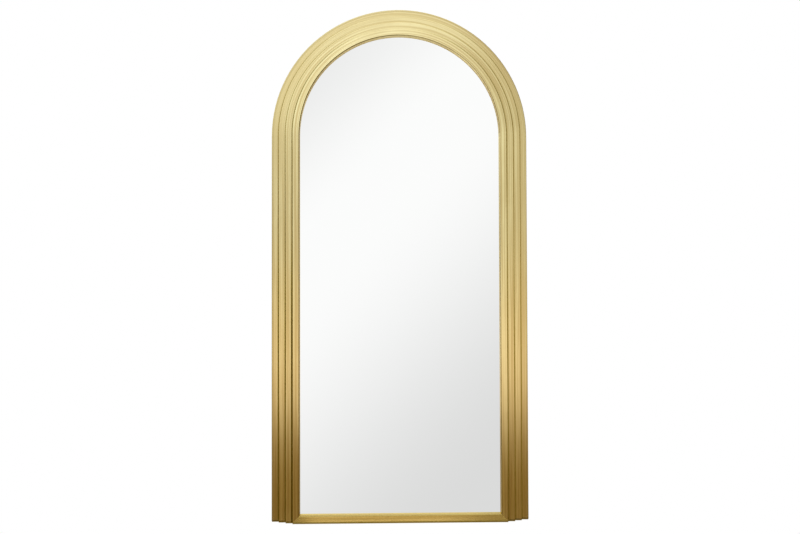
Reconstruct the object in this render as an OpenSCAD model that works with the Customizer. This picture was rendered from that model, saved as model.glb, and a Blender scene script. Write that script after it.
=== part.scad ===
/* [Frame] */
// Overall width, across the outermost tier
frame_w = 914.4; // [760:0.1:1100]
// Overall height, base plate included
frame_h = 1828.8; // [1600:0.1:2200]
// Face width of one tier, with its seam
tier_w = 25.4; // [24:0.1:30]
// How far each tier sits behind the next one in
tier_step = 10; // [8:0.5:11]
// Depth of the outermost tier's tube
outer_tier_d = 18; // [14:0.5:24]
// Depth of the innermost tier's tube
lip_d = 14; // [12:0.5:18]
// Wall of every tube
tube_wall = 1.5; // [1.2:0.1:2]
// Outer corner radius of the tier tubes
edge_r = 2.5; // [2:0.1:3]
// Weld seam between neighbouring tubes
seam = 0.3; // [0.2:0.1:0.5]
// Thickness of the base plate
base_t = 3; // [2:0.5:5]
// How far the base plate's edge sits inside the faces above it
base_inset = 1; // [0.8:0.1:2]

/* [Glass and backing] */
// Thickness of the mirror glass
glass_t = 5; // [4:1:6]
// Gap from the glass's edge to the tube around it
glass_gap = 2.5; // [1.5:0.5:4]
// Thickness of the cushion tape
tape_t = 1; // [0.5:0.5:2]
// Width of the cushion tape
tape_w = 7; // [5:0.5:7]
// How far the tape sits back from the sight edge
tape_setback = 4; // [3:0.5:4]
// Thickness of the foam sheet behind the glass
foam_t = 1.5; // [1:0.5:3]
// How far the foam sheet's edge sits inside the glass's edge
foam_inset = 6; // [3:1:12]
// Thickness of the backing board
board_t = 6; // [5:1:9]
// How far the board's edge sits inside the glass's edge
board_inset = 1; // [0.5:0.5:2]
// Height of the ledge bar under the glass
ledge_h = 10; // [8:0.5:11]
// Corner radius of the ledge bar
ledge_r = 1.2; // [1:0.1:1.5]
// Height of a setting block
block_h = 3; // [2:0.5:4]
// Length of a setting block
block_l = 80; // [50:5:120]
// Distance of each setting block from the middle
block_x = 190; // [120:5:240]

/* [Turn buttons] */
// Thickness of a turn button
button_t = 1.6; // [1.2:0.1:2.5]
// Width of a turn button
button_w = 12; // [10:0.5:13]
// Reach from a button's pivot to its tip
button_reach = 30; // [26:1:36]
// Running gap on each face of a turn button
button_gap = 0.2; // [0.1:0.05:0.3]
// Running gap round a button's pivot
pivot_gap = 0.1; // [0.05:0.05:0.2]
// Height of the lowest buttons on the legs
button_first_z = 250; // [150:10:300]
// Distance of the highest leg buttons below the rings' pivots
button_hanger_gap = 150; // [110:5:250]
// Angle of the outer head buttons from the crown
button_angle = 55; // [40:1:65]
// Distance of each ledge button from the middle
ledge_button_x = 220; // [150:5:300]
// Shank diameter of a button screw
button_screw_d = 4; // [3:0.5:5]
// Shank length of a button screw, under its head
button_screw_l = 9; // [7:0.5:10]
// Head diameter of a button screw
button_head_d = 8; // [7:0.5:10]
// Head height of a button screw
button_head_h = 2.4; // [2:0.1:3]

/* [Hangers] */
// Distance of the rings' pivots below the spring of the arch
hanger_drop = 71.6; // [40:0.2:160]
// Thickness of a hanger strap
strap_t = 2; // [1.5:0.1:2.5]
// Width of a hanger strap
strap_w = 14; // [12:0.5:14]
// Length of a hanger strap below the ring's pivot
strap_l = 62; // [58:1:75]
// Wire diameter of a hanging ring
ring_wire_d = 4; // [3.5:0.1:4.5]
// Running gap round the wire in the strap's eye
eye_gap = 0.3; // [0.2:0.1:0.5]
// Side gap between the strap's eye and the ring
ring_side_gap = 1; // [0.5:0.1:1.2]
// Length of the ring's straight sides
ring_side_l = 10; // [8:0.5:12]
// Distance of the upper strap screw below the pivot
strap_screw_z = 30; // [29:0.5:34]
// Distance between the two strap screws
strap_screw_pitch = 22; // [16:0.5:24]
// Shank diameter of a strap screw
strap_screw_d = 5; // [4:0.5:5]
// Shank length of a strap screw, under its head
strap_screw_l = 12; // [8:0.5:13]
// Head diameter of a strap screw
strap_head_d = 9; // [8:0.5:10]
// Head height of a strap screw
strap_head_h = 3; // [2.5:0.1:3.5]
// Gap between a screw and the hole it goes through
hole_gap = 0.25; // [0.15:0.05:0.4]
// Wall of a rivet nut's barrel
nut_wall = 1; // [0.8:0.1:1.2]
// Length of a rivet nut's barrel
nut_l = 11; // [8:0.5:13]
// Width of a rivet nut's flange round its barrel
nut_flange_w = 1.5; // [1:0.1:2]
// Thickness of a rivet nut's flange
nut_flange_t = 0.8; // [0.5:0.1:1]
// Gap between a rivet nut's barrel and the tube's hole
nut_gap = 0.1; // [0.05:0.05:0.2]

/* [Wall pads] */
// Thickness of a wall pad
pad_t = 3; // [2:0.5:6]
// Diameter of a wall pad
pad_d = 18; // [12:1:19]
// Height of the lower pads
pad_z = 60; // [40:5:200]
// Angle of the upper pads from the crown
pad_angle = 45; // [30:1:60]

/* [Hidden] */
$fn = 180;
small_fn = 32;
// How far a cutting shape runs past the faces that it opens
over = 1;

leg_buttons = 3;
head_buttons = 3;
ledge_buttons = 2;
button_count = 2 * leg_buttons + head_buttons + ledge_buttons;

// Outer edges of the four tiers, from the middle of the frame, and the sight edge
outer_r = frame_w / 2;
second_r = outer_r - tier_w;
third_r = second_r - tier_w;
inner_r = third_r - tier_w;
tube_w = tier_w - seam;
sight_r = inner_r - tube_w;
spring_z = frame_h - outer_r;

// Depths, measured back from the innermost tier's front face
third_front = tier_step;
second_front = 2 * tier_step;
outer_front = 3 * tier_step;
glass_front = lip_d + tape_t;
foam_front = glass_front + glass_t;
board_front = foam_front + foam_t;
board_back = board_front + board_t;
frame_back = outer_front + outer_tier_d;
front_y = -(frame_back + pad_t) / 2;

// Heights at the foot
rail_top = base_t + tube_w;
ledge_top = base_t + ledge_h;
glass_bottom = ledge_top + block_h;
glass_r = inner_r + seam - glass_gap;

// Centre lines of the third tier, the second tier and the ledge bar
pivot_r = inner_r + seam + tube_w / 2;
pad_r = third_r + seam + tube_w / 2;
ledge_mid = base_t + ledge_h / 2;

// Turn buttons: place of the pivot across and up, and the angle from +X that the tip points to
hanger_z = spring_z - hanger_drop;
button_pitch = (hanger_z - button_hanger_gap - button_first_z) / (leg_buttons - 1);
leg_button_z = [for (i = [0 : leg_buttons - 1]) button_first_z + i * button_pitch];
head_button_a = [for (i = [0 : head_buttons - 1]) 90 + (i - (head_buttons - 1) / 2) * button_angle];
tier_button_places = concat(
    [for (z = leg_button_z) [-pivot_r, z, 0]],
    [for (z = leg_button_z) [pivot_r, z, 180]],
    [for (a = head_button_a) [pivot_r * cos(a), spring_z + pivot_r * sin(a), a + 180]]
);
ledge_button_places = [for (x = [-ledge_button_x, ledge_button_x]) [x, ledge_mid, 90]];
button_places = concat(tier_button_places, ledge_button_places);
button_front = board_back + button_gap;
button_head_front = button_front + button_t + button_gap;

// Hangers: the strap lies on the rivet nuts' flanges, and the wire turns in its rolled eye
strap_front = board_back + nut_flange_t;
strap_back = strap_front + strap_t;
eye_bore_r = ring_wire_d / 2 + eye_gap;
eye_r = eye_bore_r + strap_t;
eye_depth = strap_front + eye_r;
ring_half = strap_w / 2 + ring_side_gap + ring_wire_d / 2;
strap_screw_places = [hanger_z - strap_screw_z, hanger_z - strap_screw_z - strap_screw_pitch];
nut_bore_r = strap_screw_d / 2 + nut_gap;
nut_r = nut_bore_r + nut_wall;

BRASS = "#c2a15a";
STEEL = "#b9bcc0";
RUBBER = "#2b2b2b";

// Rectangle with round corners, from its lower left corner
module rounded_rect(w, d, r) {
    translate([r, 0]) square([w - 2 * r, d]);
    translate([0, r]) square([w, d - 2 * r]);
    for (x = [r, w - r], y = [r, d - r])
        translate([x, y]) circle(r = r, $fn = small_fn);
}

// Hollow section of a tube: across from x, back from depth front
module tube_section(x, w, front, back, r) {
    translate([x, front]) difference() {
        rounded_rect(w, back - front, r);
        translate([tube_wall, tube_wall])
            square([w - 2 * tube_wall, back - front - 2 * tube_wall]);
    }
}

// Arched member: a half-round head on two legs, all of one tube
module arched_tube(edge, front, back) {
    translate([0, front_y, spring_z]) rotate([-90, 0, 0]) rotate([0, 0, 180])
        rotate_extrude(angle = 180)
            tube_section(edge - tube_w, tube_w, front, back, edge_r);
    for (side = [0, 1]) mirror([side, 0, 0])
        translate([0, front_y, base_t]) linear_extrude(spring_z - base_t)
            tube_section(edge - tube_w, tube_w, front, back, edge_r);
}

// Wedge on one side of the mitre at the right foot: the leg's side or the rail's side
module mitre_wedge(leg_side) {
    reach = tube_w + 2 * edge_r;
    translate([inner_r, front_y + lip_d + over, base_t]) rotate([90, 0, 0])
        linear_extrude(lip_d + 2 * over)
            polygon(leg_side ? [[0, 0], [reach, 0], [reach, reach], [-reach, reach]]
                             : [[0, 0], [-reach, reach], [-reach - over, -over], [0, -over]]);
}

// Flat sheet with an arched head: half width, foot height, and the depths of its two faces
module arched_sheet(half, foot, front, back) {
    translate([0, front_y + back, 0]) rotate([90, 0, 0]) linear_extrude(back - front) {
        translate([0, spring_z]) circle(r = half);
        translate([-half, foot]) square([2 * half, spring_z - foot]);
    }
}

// Puts its children at a depth on the back, with their Z pointing to the wall
module on_back(x, z, depth) {
    translate([x, front_y + depth, z]) rotate([-90, 0, 0]) children();
}

// Cutter for a hole through the back wall of a tube that ends at the board's back
module back_hole(x, z, r) {
    on_back(x, z, board_back - tube_wall - over)
        cylinder(r = r, h = tube_wall + 2 * over, $fn = small_fn);
}

// Pan-head screw: the underside of its head at z = 0, the shank going down
module screw(shank_d, shank_l, head_d, head_h) {
    rim_h = head_h * 0.6;
    top_d = head_d * 0.7;
    recess_w = head_d / 6;
    recess_l = head_d * 0.6;
    recess_floor = head_h * 0.4;
    difference() {
        union() {
            cylinder(d = head_d, h = rim_h, $fn = small_fn);
            translate([0, 0, rim_h])
                cylinder(d1 = head_d, d2 = top_d, h = head_h - rim_h, $fn = small_fn);
            translate([0, 0, -shank_l]) cylinder(d = shank_d, h = shank_l + rim_h, $fn = small_fn);
        }
        for (a = [0, 90]) rotate([0, 0, a])
            translate([-recess_l / 2, -recess_w / 2, recess_floor]) cube([recess_l, recess_w, head_h]);
    }
}

module outer_tier() {
    color(BRASS) arched_tube(outer_r, outer_front, frame_back);
}

module second_tier() {
    color(BRASS) arched_tube(second_r, second_front, frame_back);
}

module third_tier() {
    color(BRASS) difference() {
        arched_tube(third_r, third_front, board_back);
        for (p = tier_button_places)
            back_hole(p[0], p[1], button_screw_d / 2 + pivot_gap);
        for (x = [-pivot_r, pivot_r], z = strap_screw_places)
            back_hole(x, z, nut_r + nut_gap);
    }
}

module inner_tier() {
    color(BRASS) difference() {
        arched_tube(inner_r, 0, lip_d);
        for (side = [0, 1]) mirror([side, 0, 0]) mitre_wedge(false);
    }
}

module bottom_rail() {
    color(BRASS) difference() {
        translate([inner_r, front_y, base_t]) rotate([0, -90, 0])
            linear_extrude(2 * inner_r) tube_section(0, tube_w, 0, lip_d, edge_r);
        for (side = [0, 1]) mirror([side, 0, 0]) mitre_wedge(true);
    }
}

// Stepped plate that closes the tubes' feet
module base_plate() {
    front_steps = [
        [inner_r - base_inset, base_inset],
        [inner_r - base_inset, third_front + base_inset],
        [third_r - base_inset, third_front + base_inset],
        [third_r - base_inset, second_front + base_inset],
        [second_r - base_inset, second_front + base_inset],
        [second_r - base_inset, outer_front + base_inset],
        [outer_r - base_inset, outer_front + base_inset],
        [outer_r - base_inset, frame_back - base_inset],
        [third_r + seam + base_inset, frame_back - base_inset],
        [third_r + seam + base_inset, board_back - base_inset]
    ];
    last = len(front_steps) - 1;
    left_side = [for (i = [last : -1 : 0]) [-front_steps[i][0], front_steps[i][1]]];
    color(BRASS) translate([0, front_y, 0]) linear_extrude(base_t)
        polygon(concat(front_steps, left_side));
}

// Bar behind the rail that carries the glass and takes the lower buttons' screws
module ledge_bar() {
    color(BRASS) difference() {
        translate([inner_r, front_y, base_t]) rotate([0, -90, 0])
            linear_extrude(2 * inner_r) tube_section(0, ledge_h, lip_d, board_back, ledge_r);
        for (p = ledge_button_places)
            back_hole(p[0], p[1], button_screw_d / 2 + pivot_gap);
    }
}

module mirror_glass() {
    color("#dfe3e6") arched_sheet(glass_r, glass_bottom, glass_front, foam_front);
}

// Tape between the innermost tier and the glass, all the way round
module cushion_tape() {
    inside = sight_r + tape_setback;
    foot = rail_top - tape_setback;
    color(RUBBER) difference() {
        arched_sheet(inside + tape_w, foot - tape_w, lip_d, glass_front);
        arched_sheet(inside, foot, lip_d - over, glass_front + over);
    }
}

module setting_blocks() {
    color(RUBBER) for (side = [-1, 1])
        translate([side * block_x - block_l / 2, front_y + glass_front, ledge_top])
            cube([block_l, board_back - glass_front, block_h]);
}

module foam_sheet() {
    color("#e8e6e0") arched_sheet(glass_r - foam_inset, glass_bottom + foam_inset, foam_front, board_front);
}

module backing_board() {
    color("#9b7b55") arched_sheet(glass_r - board_inset, glass_bottom, board_front, board_back);
}

// Flat swivel plate with round ends, turning on its screw
module turn_button(i) {
    p = button_places[i];
    tip = button_reach - button_w / 2;
    color(STEEL) on_back(p[0], p[1], button_front) rotate([0, 0, -p[2]])
        linear_extrude(button_t) difference() {
            union() {
                circle(d = button_w, $fn = small_fn);
                translate([tip, 0]) circle(d = button_w, $fn = small_fn);
                translate([0, -button_w / 2]) square([tip, button_w]);
            }
            circle(d = button_screw_d + 2 * pivot_gap, $fn = small_fn);
        }
}

module button_screws() {
    color(STEEL) for (p = button_places)
        on_back(p[0], p[1], button_head_front)
            screw(button_screw_d, button_screw_l, button_head_d, button_head_h);
}

// Flat strap whose top end is rolled into the eye that holds the ring's wire
module hanger_strap(x) {
    color(STEEL) difference() {
        translate([x, front_y, hanger_z]) rotate([0, -90, 0]) linear_extrude(strap_w, center = true)
            difference() {
                union() {
                    translate([0, eye_depth]) circle(r = eye_r, $fn = small_fn);
                    translate([-strap_l, strap_front]) square([strap_l - eye_gap, strap_t]);
                }
                translate([0, eye_depth]) circle(r = eye_bore_r, $fn = small_fn);
            }
        for (z = strap_screw_places)
            on_back(x, z, strap_front - over)
                cylinder(d = strap_screw_d + 2 * hole_gap, h = strap_t + 2 * over, $fn = small_fn);
        on_back(x, hanger_z - strap_l, strap_front - over) difference() {
            translate([-strap_w, -strap_w / 2, 0]) cube([2 * strap_w, strap_w, strap_t + 2 * over]);
            translate([0, -strap_w / 2, -over])
                cylinder(d = strap_w, h = strap_t + 4 * over, $fn = small_fn);
        }
    }
}

// Closed ring hanging from its straight bar: two sides and a half-round bow
module hanging_ring(x) {
    wire_r = ring_wire_d / 2;
    color(STEEL) translate([x, front_y + eye_depth, hanger_z]) {
        translate([-ring_half, 0, 0]) rotate([0, 90, 0])
            cylinder(r = wire_r, h = 2 * ring_half, $fn = small_fn);
        for (side = [-1, 1]) {
            translate([side * ring_half, 0, 0]) sphere(r = wire_r, $fn = small_fn);
            translate([side * ring_half, 0, -ring_side_l])
                cylinder(r = wire_r, h = ring_side_l, $fn = small_fn);
        }
        translate([0, 0, -ring_side_l]) rotate([90, 0, 0]) rotate([0, 0, 180])
            rotate_extrude(angle = 180)
                translate([ring_half, 0]) circle(r = wire_r, $fn = small_fn);
    }
}

module strap_screws() {
    color(STEEL) for (x = [-pivot_r, pivot_r], z = strap_screw_places)
        on_back(x, z, strap_back)
            screw(strap_screw_d, strap_screw_l, strap_head_d, strap_head_h);
}

// Threaded inserts in the third tier's back wall
module rivet_nuts() {
    color(STEEL) for (x = [-pivot_r, pivot_r], z = strap_screw_places)
        on_back(x, z, board_back) difference() {
            union() {
                cylinder(r = nut_r + nut_flange_w, h = nut_flange_t, $fn = small_fn);
                translate([0, 0, -nut_l]) cylinder(r = nut_r, h = nut_l, $fn = small_fn);
            }
            translate([0, 0, -nut_l - over])
                cylinder(r = nut_bore_r, h = nut_l + nut_flange_t + 2 * over, $fn = small_fn);
        }
}

module wall_pads() {
    head_x = pad_r * sin(pad_angle);
    head_z = spring_z + pad_r * cos(pad_angle);
    color(RUBBER) for (side = [-1, 1]) {
        on_back(side * pad_r, pad_z, frame_back) cylinder(d = pad_d, h = pad_t, $fn = small_fn);
        on_back(side * head_x, head_z, frame_back) cylinder(d = pad_d, h = pad_t, $fn = small_fn);
    }
}

outer_tier();
second_tier();
third_tier();
inner_tier();
bottom_rail();
base_plate();
ledge_bar();
mirror_glass();
cushion_tape();
setting_blocks();
foam_sheet();
backing_board();
for (i = [1 : button_count])
    turn_button(i - 1);
button_screws();
hanger_strap(-pivot_r);  // hanger_strap_left
hanger_strap(pivot_r);  // hanger_strap_right
hanging_ring(-pivot_r);  // hanging_ring_left
hanging_ring(pivot_r);  // hanging_ring_right
strap_screws();
rivet_nuts();
wall_pads();
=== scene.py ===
import math

import bpy
from mathutils import Matrix, Vector


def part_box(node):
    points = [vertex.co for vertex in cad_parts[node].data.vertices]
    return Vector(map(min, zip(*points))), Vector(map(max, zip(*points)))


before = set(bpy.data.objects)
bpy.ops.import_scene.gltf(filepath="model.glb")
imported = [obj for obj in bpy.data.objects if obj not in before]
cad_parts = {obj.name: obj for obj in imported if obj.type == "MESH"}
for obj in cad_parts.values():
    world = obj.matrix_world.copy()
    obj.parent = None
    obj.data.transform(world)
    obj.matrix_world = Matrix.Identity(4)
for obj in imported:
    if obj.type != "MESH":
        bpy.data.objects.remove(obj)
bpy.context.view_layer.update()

# Sizes taken from the frame; lengths are in metres throughout
OUTER_LOW, OUTER_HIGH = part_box("outer_tier")
THIRD_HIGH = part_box("third_tier")[1]
INNER_LOW, INNER_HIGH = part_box("inner_tier")
RAIL_LOW, RAIL_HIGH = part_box("bottom_rail")
GLASS_LOW, GLASS_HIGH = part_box("mirror_glass")
OUTER_R = OUTER_HIGH[0]
INNER_R = INNER_HIGH[0]
TIER_W = THIRD_HIGH[0] - INNER_R
TUBE_W = RAIL_HIGH[2] - RAIL_LOW[2]
SIGHT_R = INNER_R - TUBE_W
SPRING_Z = INNER_HIGH[2] - INNER_R
FRONT_Y = INNER_LOW[1]
OUTER_FRONT_Y = OUTER_LOW[1]
GLASS_SKIN = 0.0001      # how far from the glass's face a point still counts as on it

# Camera, worked out from the edges of the frame in the photograph; angles in degrees
IMAGE_W = 800
SENSOR_MM = 36.0
FOCAL_PX = 782.7
CAMERA_X = -0.0604
CAMERA_Z = 0.8454
CAMERA_DISTANCE = 2.8
CAMERA_YAW = -1.245
CAMERA_PITCH = 1.158
CAMERA_ROLL = 0.168

# A ramp, used by remap, is where a value starts and ends, then what it gives there if that isn't 0 and 1.
# Each one's comment says what it runs over: x, y, z, the distance across from the arch's axis, or tiers out,
# which counts tier widths outward from the inner tier's outer side.

# Finish of the rail: painted soft shade towards its ends and along its top, painted shadow on its top front
# edge, and the painted shadow along the foot that it shares with the legs
FOOT_SHADOW = (RAIL_LOW[2] + 0.0055, RAIL_LOW[2] + 0.0025, 0.0, 0.8)            # z
RAIL_EDGE_SHADOW = (RAIL_HIGH[2] - 0.004, RAIL_HIGH[2] - 0.002, 0.0, 0.4)       # z
RAIL_EDGE_FRONT = (FRONT_Y + 0.002, FRONT_Y + 0.004, 1.0, 0.0)                 # y
RAIL_TOP_SHADE = (RAIL_HIGH[2] - 0.004, RAIL_HIGH[2] - 0.002, 0.0, 0.6)      # z
RAIL_LEFT_SHADE = (-0.8 * SIGHT_R, RAIL_LOW[0])                               # x
RAIL_RIGHT_SHADE = (0.28 * SIGHT_R, SIGHT_R)                                  # x

# Grooves between the arched tubes: the painted shadow in them and its golden tint
ARCH_LEFT = (-0.1, -0.3)                                                       # x
GROOVE_FOOT = (0.22, 0.06)                                                     # tier widths past a step
GROOVE_EDGE = (0.88, 0.98)                                                     # the same
INNERMOST_GROOVE_TO = 0.5                                                      # tiers out
INNERMOST_GROOVE_WIDENS = (1.15, 0.8, 0.0, 0.055)                              # z, on the left
INNER_FACE_ENDS = (-0.15, -0.07)                                               # tiers out
OUTER_SIDE_FROM = 2.8                                                          # tiers out
OUTER_SIDE_UNSHADED = (OUTER_FRONT_Y + 0.001, OUTER_FRONT_Y + 0.004)              # y
CROWN_UNSHADED = (0.79, 1.04, 1.0, 0.0)                                           # sine of the angle up the arch
CROWN_LEAN = -0.1                                                              # x's share in that sine
SHADOW_FADES_UP = (0.55, 1.1, 1.0, 0.64)                                            # z
SHADOW_FADES_RIGHT = (-0.3, 0.4, 1.0, 0.68)                                         # x
SHADOW_FADES_OUT = (0.4, 0.8, 1.05, 0.88)                                           # tiers out
FAINTER_UP = (0.8, 1.3, 0.0, 0.2)                                              # z, on the left, further out
TINT_LOW_DOWN = (0.6, 1.15, 1.0, 0.0)                                          # z
TINT_ADDED_LOW_DOWN = (-0.2, 0.2, 1.9, 0.7)                                    # x
TINT_EVERYWHERE = (-0.2, 0.2, 0.5, 0.9)                                        # x

# Painted shade on the reveal round the glass and on the outer rim, and painted soft shade across the outer
# tiers and the upper left shoulder of the arched tubes
REVEAL_SHADOW = (SIGHT_R + 0.0032, SIGHT_R + 0.0018)                            # across
REVEAL_SHADOW_FADES_RIGHT = (-SIGHT_R, SIGHT_R, 1.0, 0.42)                          # x
REVEAL_LOW_DOWN = (0.6, 0.25, 0.0, 0.9)                                        # z
REVEAL_SHADOW_FADES_DEEP = (FRONT_Y + 0.0012, FRONT_Y + 0.004, 1.0, 0.1)            # y
RIM_SHADOW = (OUTER_R - 0.0095, OUTER_R - 0.006, 0.0, 0.15)                     # across
SHOULDER_LEFT = (-0.27, -0.38, 0.0, 0.42)                                      # x
SHOULDER_UP = (1.1, 1.45)                                                      # z
SHOULDER_OUT = (0.6, 1.6)                                                      # tiers out
SOFT_SHADE_OUT = (SIGHT_R, OUTER_R, 0.0, 0.5)                                      # across

# Brushed brass; colours are in linear light throughout
ARCH_BRASS = {"light": (0.99, 0.855, 0.45, 1.0), "deep": (0.70, 0.54, 0.235, 1.0),
              "shade": (0.74, 0.58, 0.26, 1.0), "roughness": 0.25}
RAIL_BRASS = {"light": (1.0, 0.75, 0.26, 1.0), "deep": (0.86, 0.63, 0.19, 1.0),
              "shade": (0.52, 0.38, 0.11, 1.0), "roughness": 0.13}
# Golden tint and brown of the painted shadow in the grooves, round the reveal, along the foot and on the rims
GROOVE_GOLD = (0.88, 0.71, 0.14, 1.0)
SHADOW_BROWN = (0.19, 0.115, 0.001, 1.0)
FINE_SHARE, BROAD_SHARE, BAND_SHARE = 0.2, 0.5, 0.3
STREAK_CONTRAST = (0.43, 0.57)                                                 # the streaks' weighted sum
CLOUD_CONTRAST = (0.45, 0.7, 0.0, 0.25)                                        # noise
STREAK_ROUGHNESS, SHADOW_ROUGHNESS = 0.1, 0.2
BRASS_SHADER = {"Metallic": 1.0, "Anisotropic": 0.97, "Anisotropic Rotation": 0.25,
                "Specular Tint": (1.0, 0.86, 0.55, 1.0), "Coat Weight": 0.25, "Coat Roughness": 0.2}

# Studio that the brass reflects, by direction: across is its part to the right and up its part upward
GLOW_TO_MIDDLE = (-0.12, -0.03)                                                # up
MIDDLE_TO_PALE = (-0.05, 0.07)                                                 # up
COOL_TO_OLIVE = (-0.15, 0.3)                                                   # across
LEFT_WALL = (-0.7, -0.95)                                                      # across
RIGHT_WALL = (0.6, 0.9)                                                        # across, plus a share of up
RIGHT_WALL_LEAN = 0.45                                                         # that share
RIGHT_WALL_DIMS = (0.05, 0.3)                                                  # up
OVERHEAD = (0.15, 0.48)                                                        # up, scaled up to the left
OVERHEAD_LEAN = -1.4                                                           # across's part in that scale
DARK_BAND_SHADES = (-0.26, -0.18)                                              # up
DARK_BAND_TOP = (-0.187, -0.141)                                               # up
DARK_BAND_FOOT = (-0.42, -0.32)                                                # up

# Backdrop in the mirror: grey levels along a slant from the lower right to the upper left
BACKDROP_LEAN = -0.97
BACKDROP_RISE = (-0.37, 0.085, 0.737, 1.014)                                   # up, plus leant across
BACKDROP_FALL = (0.155, 0.38, 0.0, 0.15)                                       # the same

# Floor: a disc some way below the hung mirror
FLOOR_RADIUS = 1.5
FLOOR_DROP = 0.7
FLOOR_SIDES = 96
FLOOR_FADES = (0.35 * FLOOR_RADIUS, 0.97 * FLOOR_RADIUS, 1.0, 0.0)             # distance from its middle
FLOOR_COLOUR = (0.87, 0.83, 0.77, 1.0)
FLOOR_ROUGHNESS = 0.8

# Other finishes
WHITE = (1.0, 1.0, 1.0, 1.0)
OPAQUE = (1.0,)
BLACK_RUBBER = (0.018, 0.018, 0.018)
NOISE_SPAN = (0.3, 0.7)                                                        # where most of a noise lies

# Sockets of a Mix node in its colour mode, which share their names with those of its other modes
MIX_FACTOR, MIX_A, MIX_B, MIX_RESULT = 0, 6, 7, 2


def new_node(tree, kind, inputs=None, **settings):
    """A node with its settings and inputs; an input is a value or another node's output."""
    node = tree.nodes.new(kind)
    for name, value in settings.items():
        setattr(node, name, value)
    for name, value in (inputs or {}).items():
        if isinstance(value, bpy.types.NodeSocket):
            tree.links.new(value, node.inputs[name])
        else:
            node.inputs[name].default_value = value
    return node


def calc(tree, operation, *values, clamp=False):
    """The output of a Math node on these values."""
    inputs = dict(enumerate(values))
    return new_node(tree, "ShaderNodeMath", inputs, operation=operation, use_clamp=clamp).outputs[0]


def product(tree, *values):
    """The values multiplied together."""
    result = values[0]
    for value in values[1:]:
        result = calc(tree, "MULTIPLY", result, value)
    return result


def remap(tree, value, low, high, out_low=0.0, out_high=1.0, kind="SMOOTHSTEP"):
    """value's range low to high taken to another range, with soft ends unless kind says otherwise."""
    inputs = {"Value": value, "From Min": low, "From Max": high, "To Min": out_low, "To Max": out_high}
    return new_node(tree, "ShaderNodeMapRange", inputs, interpolation_type=kind).outputs["Result"]


def vector(tree, x, y, z):
    """A vector made from three values."""
    return new_node(tree, "ShaderNodeCombineXYZ", {0: x, 1: y, 2: z}).outputs[0]


def split(tree, value):
    """The three parts of a vector."""
    parts = new_node(tree, "ShaderNodeSeparateXYZ", {0: value}).outputs
    return parts[0], parts[1], parts[2]


def object_position(tree):
    """Where a point is on the object, in the frame's own coordinates."""
    return new_node(tree, "ShaderNodeTexCoord").outputs["Object"]


def noise(tree, coords, scale, detail, roughness):
    """A noise texture's value at these coordinates."""
    inputs = {"Vector": coords, "Scale": scale, "Detail": detail, "Roughness": roughness}
    return new_node(tree, "ShaderNodeTexNoise", inputs).outputs["Fac"]


def mix_color(tree, factor, a, b):
    """Colour a taken to colour b as factor goes from 0 to 1."""
    inputs = {MIX_FACTOR: factor, MIX_A: a, MIX_B: b}
    return new_node(tree, "ShaderNodeMix", inputs, data_type="RGBA").outputs[MIX_RESULT]


def new_material(name):
    """An empty material, its node tree and its Principled shader."""
    material = bpy.data.materials.new(name)
    material.use_nodes = True
    tree = material.node_tree
    return material, tree, tree.nodes["Principled BSDF"]


def add_bump(tree, shader, height, strength, distance):
    """Fine relief on the shader's surface."""
    bump = new_node(tree, "ShaderNodeBump", {"Height": height, "Strength": strength, "Distance": distance})
    tree.links.new(bump.outputs[0], shader.inputs["Normal"])


def rail_surface(tree):
    """How the rail's brass lies, and where shade is painted on it.

    Gives the grain's coordinates (distance along, across and into it), its direction, and how much
    painted soft shade, golden tint and painted shadow a point has.
    """
    x, y, z = split(tree, object_position(tree))
    # Painted shadow along the foot and on the top front edge; painted soft shade towards both ends and along
    # the top
    foot = remap(tree, z, *FOOT_SHADOW)
    corner = product(tree, remap(tree, z, *RAIL_EDGE_SHADOW), remap(tree, y, *RAIL_EDGE_FRONT))
    to_left = remap(tree, x, *RAIL_LEFT_SHADE)
    to_right = remap(tree, x, *RAIL_RIGHT_SHADE)
    ledge = remap(tree, z, *RAIL_TOP_SHADE)
    soft_shade = calc(tree, "MAXIMUM", calc(tree, "MAXIMUM", to_left, to_right), ledge)
    return (x, z, y), vector(tree, 1.0, 0.0, 0.0), soft_shade, 0.0, calc(tree, "MAXIMUM", foot, corner)


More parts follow.
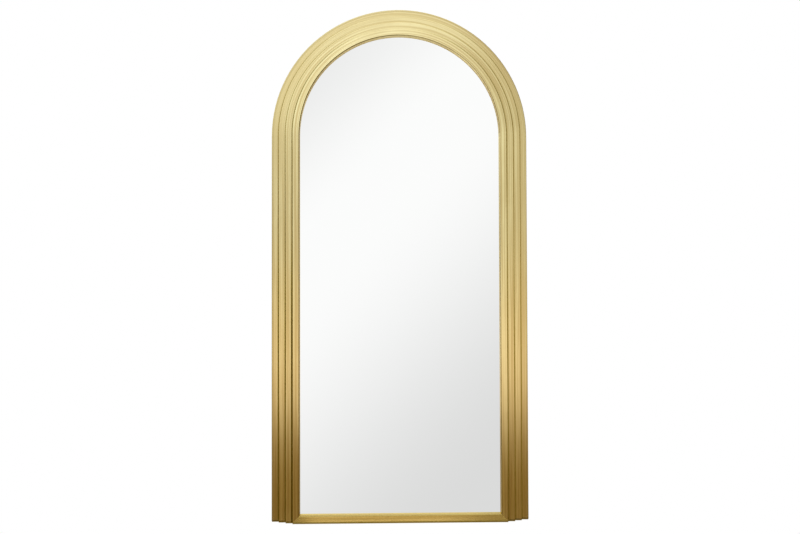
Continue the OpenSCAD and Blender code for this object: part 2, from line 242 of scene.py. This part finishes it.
def arch_surface(tree):
    """The same for the arched tubes: shadow is painted in their grooves, on the reveal round the glass, along
    the foot and on the outer rim, and soft shade on the outer tiers.
    """
    x, y, z = split(tree, object_position(tree))
    height = calc(tree, "SUBTRACT", z, SPRING_Z)
    head_height = calc(tree, "MAXIMUM", height, 0.0)
    angle = calc(tree, "ARCTAN2", head_height, x)
    leg = product(tree, calc(tree, "MINIMUM", height, 0.0), calc(tree, "SIGN", x))
    along = calc(tree, "MULTIPLY_ADD", angle, INNER_R, leg)
    squares = calc(tree, "ADD", product(tree, x, x), product(tree, head_height, head_height))
    across = calc(tree, "SQRT", squares)
    tangent = vector(tree, product(tree, head_height, -1.0), 0.0, x)
    unit = new_node(tree, "ShaderNodeVectorMath", {0: tangent}, operation="NORMALIZE").outputs[0]

    # Painted shadow in each groove, at the foot of a step and on the step's rounded edge; it fades over the
    # crown, higher up, to the right and outward
    tiers_out = calc(tree, "DIVIDE", calc(tree, "SUBTRACT", across, INNER_R), TIER_W)
    past_step = calc(tree, "FRACT", tiers_out)
    at_left = remap(tree, x, *ARCH_LEFT)
    innermost = calc(tree, "LESS_THAN", tiers_out, INNERMOST_GROOVE_TO)
    wide = product(tree, at_left, innermost, remap(tree, z, *INNERMOST_GROOVE_WIDENS))
    at_foot = remap(tree, calc(tree, "SUBTRACT", past_step, wide), *GROOVE_FOOT)
    at_edge = remap(tree, past_step, *GROOVE_EDGE)
    at_outside = calc(tree, "GREATER_THAN", tiers_out, OUTER_SIDE_FROM)
    on_front = calc(tree, "SUBTRACT", 1.0, product(tree, at_outside, remap(tree, y, *OUTER_SIDE_UNSHADED)))
    crown = calc(tree, "DIVIDE", calc(tree, "MULTIPLY_ADD", x, CROWN_LEAN, head_height), across)
    further_out = calc(tree, "SUBTRACT", 1.0, innermost)
    faint = product(tree, at_left, further_out, remap(tree, z, *FAINTER_UP))
    groove = product(tree, calc(tree, "MAXIMUM", at_foot, at_edge), remap(tree, tiers_out, *INNER_FACE_ENDS),
                     on_front, remap(tree, crown, *CROWN_UNSHADED), remap(tree, z, *SHADOW_FADES_UP),
                     remap(tree, x, *SHADOW_FADES_RIGHT), remap(tree, tiers_out, *SHADOW_FADES_OUT),
                     calc(tree, "SUBTRACT", 1.0, faint))

    # Painted shade on the reveal round the glass, darkest at its front edge and fainter on the right side
    # higher up
    more_shadow = calc(tree, "MAXIMUM", remap(tree, x, *REVEAL_SHADOW_FADES_RIGHT), remap(tree, z, *REVEAL_LOW_DOWN))
    shallow = remap(tree, y, *REVEAL_SHADOW_FADES_DEEP)
    reveal = product(tree, remap(tree, across, *REVEAL_SHADOW), more_shadow, shallow)
    # Painted shadow along the underside edge of the foot
    foot = remap(tree, z, *FOOT_SHADOW)
    # Painted shade along the outer tier's outer rim, on the front
    rim = product(tree, remap(tree, across, *RIM_SHADOW), on_front)
    edges = calc(tree, "MAXIMUM", calc(tree, "MAXIMUM", reveal, foot), rim)

    # Painted soft shade, growing across the outer tiers, and more on the upper left shoulder
    shoulder = product(tree, remap(tree, x, *SHOULDER_LEFT), remap(tree, z, *SHOULDER_UP),
                       remap(tree, tiers_out, *SHOULDER_OUT))
    soft_shade = calc(tree, "ADD", remap(tree, across, *SOFT_SHADE_OUT, kind="LINEAR"), shoulder)
    # Golden tint in the painted groove shadow, stronger low down
    tint = calc(tree, "MULTIPLY_ADD", remap(tree, z, *TINT_LOW_DOWN), remap(tree, x, *TINT_ADDED_LOW_DOWN),
                remap(tree, x, *TINT_EVERYWHERE))
    tint = calc(tree, "MULTIPLY", groove, tint, clamp=True)
    return (along, across, y), unit, soft_shade, tint, calc(tree, "MAXIMUM", groove, edges)


def streaks(tree, grain, along_scale, across_scale, detail):
    """Noise drawn out along the grain."""
    scales = (along_scale, across_scale, across_scale)
    stretched = vector(tree, *(product(tree, part, scale) for part, scale in zip(grain, scales)))
    return noise(tree, stretched, scale=1.0, detail=detail, roughness=0.6)


def brushed_brass(name, surface, light, deep, shade, roughness):
    """Brass brushed along each tube: long fine streaks, painted soft shade, painted shadow and clear lacquer.
    """
    material, tree, shader = new_material(name)
    grain, tangent, soft_shade, tint, shadow = surface(tree)
    fine = streaks(tree, grain, along_scale=7.0, across_scale=1300.0, detail=3.0)
    broad = streaks(tree, grain, along_scale=2.2, across_scale=300.0, detail=2.0)
    band = streaks(tree, grain, along_scale=0.9, across_scale=115.0, detail=1.0)
    cloud = noise(tree, vector(tree, *grain), scale=7.0, detail=3.0, roughness=0.55)

    tone = calc(tree, "ADD", product(tree, fine, FINE_SHARE), product(tree, broad, BROAD_SHARE))
    tone = calc(tree, "MULTIPLY_ADD", band, BAND_SHARE, tone)
    colour = mix_color(tree, remap(tree, tone, *STREAK_CONTRAST), deep, light)
    colour = mix_color(tree, remap(tree, cloud, *CLOUD_CONTRAST), colour, deep)
    # Painted soft shade, then the golden tint and brown of the painted shadow
    colour = mix_color(tree, soft_shade, colour, shade)
    colour = mix_color(tree, tint, colour, GROOVE_GOLD)
    colour = mix_color(tree, shadow, colour, SHADOW_BROWN)
    tree.links.new(colour, shader.inputs["Base Color"])

    for socket, value in BRASS_SHADER.items():
        shader.inputs[socket].default_value = value
    tree.links.new(tangent, shader.inputs["Tangent"])
    rough = calc(tree, "MULTIPLY_ADD", broad, STREAK_ROUGHNESS, roughness)
    # Rougher where shadow is painted
    rough = calc(tree, "MULTIPLY_ADD", shadow, SHADOW_ROUGHNESS, rough)
    tree.links.new(rough, shader.inputs["Roughness"])
    add_bump(tree, shader, fine, strength=0.15, distance=0.0002)
    return material


def mirror_silver():
    """Silvered glass: a sharp mirror in front, pale green cut edges and grey paint on the back."""
    silver = (0.955, 0.96, 0.955, 1.0)
    edge_deep, edge_pale = (0.10, 0.24, 0.18, 1.0), (0.16, 0.33, 0.26, 1.0)
    paint_dark, paint_pale = (0.30, 0.32, 0.34, 1.0), (0.38, 0.40, 0.42, 1.0)
    unsilvered_roughness = 0.35

    material, tree, shader = new_material("mirror_silver")
    position = object_position(tree)
    _, depth, _ = split(tree, position)
    in_front = calc(tree, "LESS_THAN", depth, GLASS_LOW[1] + GLASS_SKIN)
    painted = calc(tree, "GREATER_THAN", depth, GLASS_HIGH[1] - GLASS_SKIN)
    wavy = noise(tree, position, scale=14.0, detail=2.0, roughness=0.5)
    mottled = noise(tree, position, scale=240.0, detail=3.0, roughness=0.6)
    roll = noise(tree, position, scale=1.6, detail=1.0, roughness=0.4)
    edge = mix_color(tree, wavy, edge_deep, edge_pale)
    paint = mix_color(tree, mottled, paint_dark, paint_pale)
    unsilvered = mix_color(tree, painted, edge, paint)
    tree.links.new(mix_color(tree, in_front, unsilvered, silver), shader.inputs["Base Color"])
    tree.links.new(in_front, shader.inputs["Metallic"])
    rough = product(tree, calc(tree, "SUBTRACT", 1.0, in_front), unsilvered_roughness)
    tree.links.new(rough, shader.inputs["Roughness"])
    add_bump(tree, shader, roll, strength=0.05, distance=0.001)
    return material


def rubber(name, colour):
    """Matt moulded rubber with a fine pebbled skin."""
    crest_gain = 1.6
    rough_range = (0.65, 0.85)

    material, tree, shader = new_material(name)
    pebble = noise(tree, object_position(tree), scale=900.0, detail=3.0, roughness=0.6)
    crest = tuple(crest_gain * part for part in colour) + OPAQUE
    tree.links.new(mix_color(tree, pebble, colour + OPAQUE, crest), shader.inputs["Base Color"])
    tree.links.new(remap(tree, pebble, *NOISE_SPAN, *rough_range), shader.inputs["Roughness"])
    add_bump(tree, shader, pebble, strength=0.3, distance=0.0003)
    return material


def fibreboard():
    """Raw medium-density fibreboard: pressed fibres in two browns, with flecks and darker clouds."""
    deep, pale = (0.36, 0.24, 0.135, 1.0), (0.50, 0.355, 0.215, 1.0)
    fleck_colour, cloud_colour = (0.24, 0.15, 0.08, 1.0), (0.38, 0.255, 0.15, 1.0)
    fleck_ramp, cloud_ramp = (0.62, 0.72, 0.0, 0.35), (0.4, 0.7, 0.0, 0.3)
    rough_range = (0.6, 0.8)

    material, tree, shader = new_material("fibreboard")
    position = object_position(tree)
    fibre = noise(tree, position, scale=900.0, detail=6.0, roughness=0.7)
    flecks = noise(tree, position, scale=260.0, detail=2.0, roughness=0.5)
    cloud = noise(tree, position, scale=6.0, detail=3.0, roughness=0.5)
    colour = mix_color(tree, remap(tree, fibre, *NOISE_SPAN), deep, pale)
    colour = mix_color(tree, remap(tree, flecks, *fleck_ramp), colour, fleck_colour)
    colour = mix_color(tree, remap(tree, cloud, *cloud_ramp), colour, cloud_colour)
    tree.links.new(colour, shader.inputs["Base Color"])
    tree.links.new(remap(tree, fibre, *NOISE_SPAN, *rough_range), shader.inputs["Roughness"])
    add_bump(tree, shader, fibre, strength=0.25, distance=0.0004)
    return material


def foam():
    """White closed-cell foam sheet."""
    wall_colour, cell_colour = (0.72, 0.71, 0.68, 1.0), (0.82, 0.81, 0.78, 1.0)
    rough_range = (0.55, 0.75)

    material, tree, shader = new_material("white_foam")
    inputs = {"Vector": object_position(tree), "Scale": 700.0}
    cells = new_node(tree, "ShaderNodeTexVoronoi", inputs).outputs["Distance"]
    tree.links.new(mix_color(tree, cells, wall_colour, cell_colour), shader.inputs["Base Color"])
    tree.links.new(remap(tree, cells, 0.0, 1.0, *rough_range), shader.inputs["Roughness"])
    return material


def zinc_steel():
    """Zinc-plated steel: fine spangle with a faint blue and straw tint."""
    blue, straw = (0.60, 0.62, 0.66, 1.0), (0.68, 0.66, 0.60, 1.0)
    tint_span = (0.4, 0.6)
    rough_range = (0.24, 0.42)

    material, tree, shader = new_material("zinc_steel")
    position = object_position(tree)
    spangle = noise(tree, position, scale=500.0, detail=3.0, roughness=0.6)
    tint = noise(tree, position, scale=60.0, detail=2.0, roughness=0.5)
    tree.links.new(mix_color(tree, remap(tree, tint, *tint_span), blue, straw), shader.inputs["Base Color"])
    shader.inputs["Metallic"].default_value = 1.0
    tree.links.new(remap(tree, spangle, *NOISE_SPAN, *rough_range), shader.inputs["Roughness"])
    add_bump(tree, shader, spangle, strength=0.12, distance=0.0002)
    return material


def dress(node_name, material):
    """Puts one material on a CAD node."""
    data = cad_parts[node_name].data
    data.materials.clear()
    data.materials.append(material)


def dress_all():
    """Finish of every CAD node; the ones not named here are fittings of zinc-plated steel."""
    arch_brass = brushed_brass("brass_along_arch", arch_surface, **ARCH_BRASS)
    rail_brass = brushed_brass("brass_along_rail", rail_surface, **RAIL_BRASS)
    steel = zinc_steel()
    black = rubber("black_rubber", BLACK_RUBBER)
    finishes = {
        "outer_tier": arch_brass,
        "second_tier": arch_brass,
        "third_tier": arch_brass,
        "inner_tier": arch_brass,
        "bottom_rail": rail_brass,
        "base_plate": rail_brass,
        "ledge_bar": rail_brass,
        "mirror_glass": mirror_silver(),
        "backing_board": fibreboard(),
        "foam_sheet": foam(),
        "cushion_tape": black,
        "setting_blocks": black,
        "wall_pads": black,
    }
    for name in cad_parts:
        dress(name, finishes.get(name, steel))


def make_camera():
    """The photograph's view of the mirror."""
    data = bpy.data.cameras.new("camera")
    data.sensor_width = SENSOR_MM
    data.lens = FOCAL_PX / IMAGE_W * SENSOR_MM
    camera = bpy.data.objects.new("camera", data)
    bpy.context.scene.collection.objects.link(camera)
    turn = (Matrix.Rotation(math.radians(CAMERA_YAW), 4, "Z")
            @ Matrix.Rotation(math.radians(CAMERA_PITCH), 4, "X")
            @ Matrix.Rotation(math.radians(CAMERA_ROLL), 4, "Y"))
    upright = Matrix.Rotation(math.radians(90), 4, "X")     # a new camera looks down
    place = Matrix.Translation(Vector((CAMERA_X, OUTER_FRONT_Y - CAMERA_DISTANCE, CAMERA_Z)))
    camera.matrix_world = place @ turn @ upright
    bpy.context.scene.camera = camera


def studio_room(tree, across, up):
    """The room round the mirror: an overhead light, a pale front, dim sides, a dark band and a pale floor."""
    glow, middle = (1.14, 1.00, 0.86, 1.0), (0.91, 0.82, 0.68, 1.0)
    cool, olive = (0.84, 0.86, 0.91, 1.0), (0.77, 0.78, 0.69, 1.0)
    left_wall = (0.10, 0.065, 0.025, 1.0)
    right_wall_low, right_wall_high = (0.66, 0.55, 0.38, 1.0), (0.30, 0.25, 0.16, 1.0)
    overhead_light = (1.36, 1.49, 1.66, 1.0)
    band_low, band_high = (0.20, 0.117, 0.004, 1.0), (0.235, 0.14, 0.005, 1.0)
    floor = (0.80, 0.76, 0.70, 1.0)

    pale = mix_color(tree, remap(tree, across, *COOL_TO_OLIVE), cool, olive)
    front = mix_color(tree, remap(tree, up, *GLOW_TO_MIDDLE), glow, middle)
    front = mix_color(tree, remap(tree, up, *MIDDLE_TO_PALE), front, pale)
    right_side = remap(tree, calc(tree, "MULTIPLY_ADD", up, RIGHT_WALL_LEAN, across), *RIGHT_WALL)
    right_tone = mix_color(tree, remap(tree, up, *RIGHT_WALL_DIMS), right_wall_low, right_wall_high)
    room = mix_color(tree, remap(tree, across, *LEFT_WALL), front, left_wall)
    room = mix_color(tree, right_side, room, right_tone)
    lit = product(tree, up, calc(tree, "MULTIPLY_ADD", across, OVERHEAD_LEAN, 1.0))
    room = mix_color(tree, remap(tree, lit, *OVERHEAD), room, overhead_light)
    band = mix_color(tree, remap(tree, up, *DARK_BAND_SHADES), band_low, band_high)
    room = mix_color(tree, remap(tree, up, *DARK_BAND_TOP), band, room)
    return mix_color(tree, remap(tree, up, *DARK_BAND_FOOT), floor, room)


def mirror_backdrop(tree, across, up):
    """The grey gradient that a sharp reflection shows."""
    slant = calc(tree, "MULTIPLY_ADD", across, BACKDROP_LEAN, up)
    tone = calc(tree, "SUBTRACT", remap(tree, slant, *BACKDROP_RISE), remap(tree, slant, *BACKDROP_FALL))
    return vector(tree, tone, tone, tone)


def make_world():
    """The studio as the brass sees it; the camera sees white and the mirror a backdrop instead."""
    world = bpy.data.worlds.new("studio")
    bpy.context.scene.world = world
    world.use_nodes = True
    tree = world.node_tree
    tree.nodes.clear()
    across, _, up = split(tree, new_node(tree, "ShaderNodeTexCoord").outputs["Generated"])
    room = studio_room(tree, across, up)
    backdrop = mirror_backdrop(tree, across, up)
    path = new_node(tree, "ShaderNodeLightPath")
    studio = mix_color(tree, path.outputs["Is Singular Ray"], room, backdrop)
    colour = mix_color(tree, path.outputs["Is Camera Ray"], studio, WHITE)
    background = new_node(tree, "ShaderNodeBackground", {"Color": colour, "Strength": 1.0})
    output = new_node(tree, "ShaderNodeOutputWorld", {"Surface": background.outputs[0]})
    output.is_active_output = True


def make_floor():
    """Plain pale floor below the hung mirror: a disc that fades into the white background."""
    turns = [2.0 * math.pi * i / FLOOR_SIDES for i in range(FLOOR_SIDES)]
    corners = [(FLOOR_RADIUS * math.cos(a), FLOOR_RADIUS * math.sin(a), -FLOOR_DROP) for a in turns]
    mesh = bpy.data.meshes.new("floor")
    mesh.from_pydata(corners, [], [tuple(range(FLOOR_SIDES))])
    floor = bpy.data.objects.new("floor", mesh)
    bpy.context.scene.collection.objects.link(floor)

    material, tree, shader = new_material("pale_floor")
    shader.inputs["Base Color"].default_value = FLOOR_COLOUR
    shader.inputs["Roughness"].default_value = FLOOR_ROUGHNESS
    x, y, _ = split(tree, object_position(tree))
    spot = vector(tree, x, y, 0.0)
    from_middle = new_node(tree, "ShaderNodeVectorMath", {0: spot}, operation="LENGTH").outputs["Value"]
    tree.links.new(remap(tree, from_middle, *FLOOR_FADES), shader.inputs["Alpha"])
    mesh.materials.append(material)


dress_all()
make_camera()
make_world()
make_floor()
bpy.context.scene.view_settings.view_transform = "Standard"
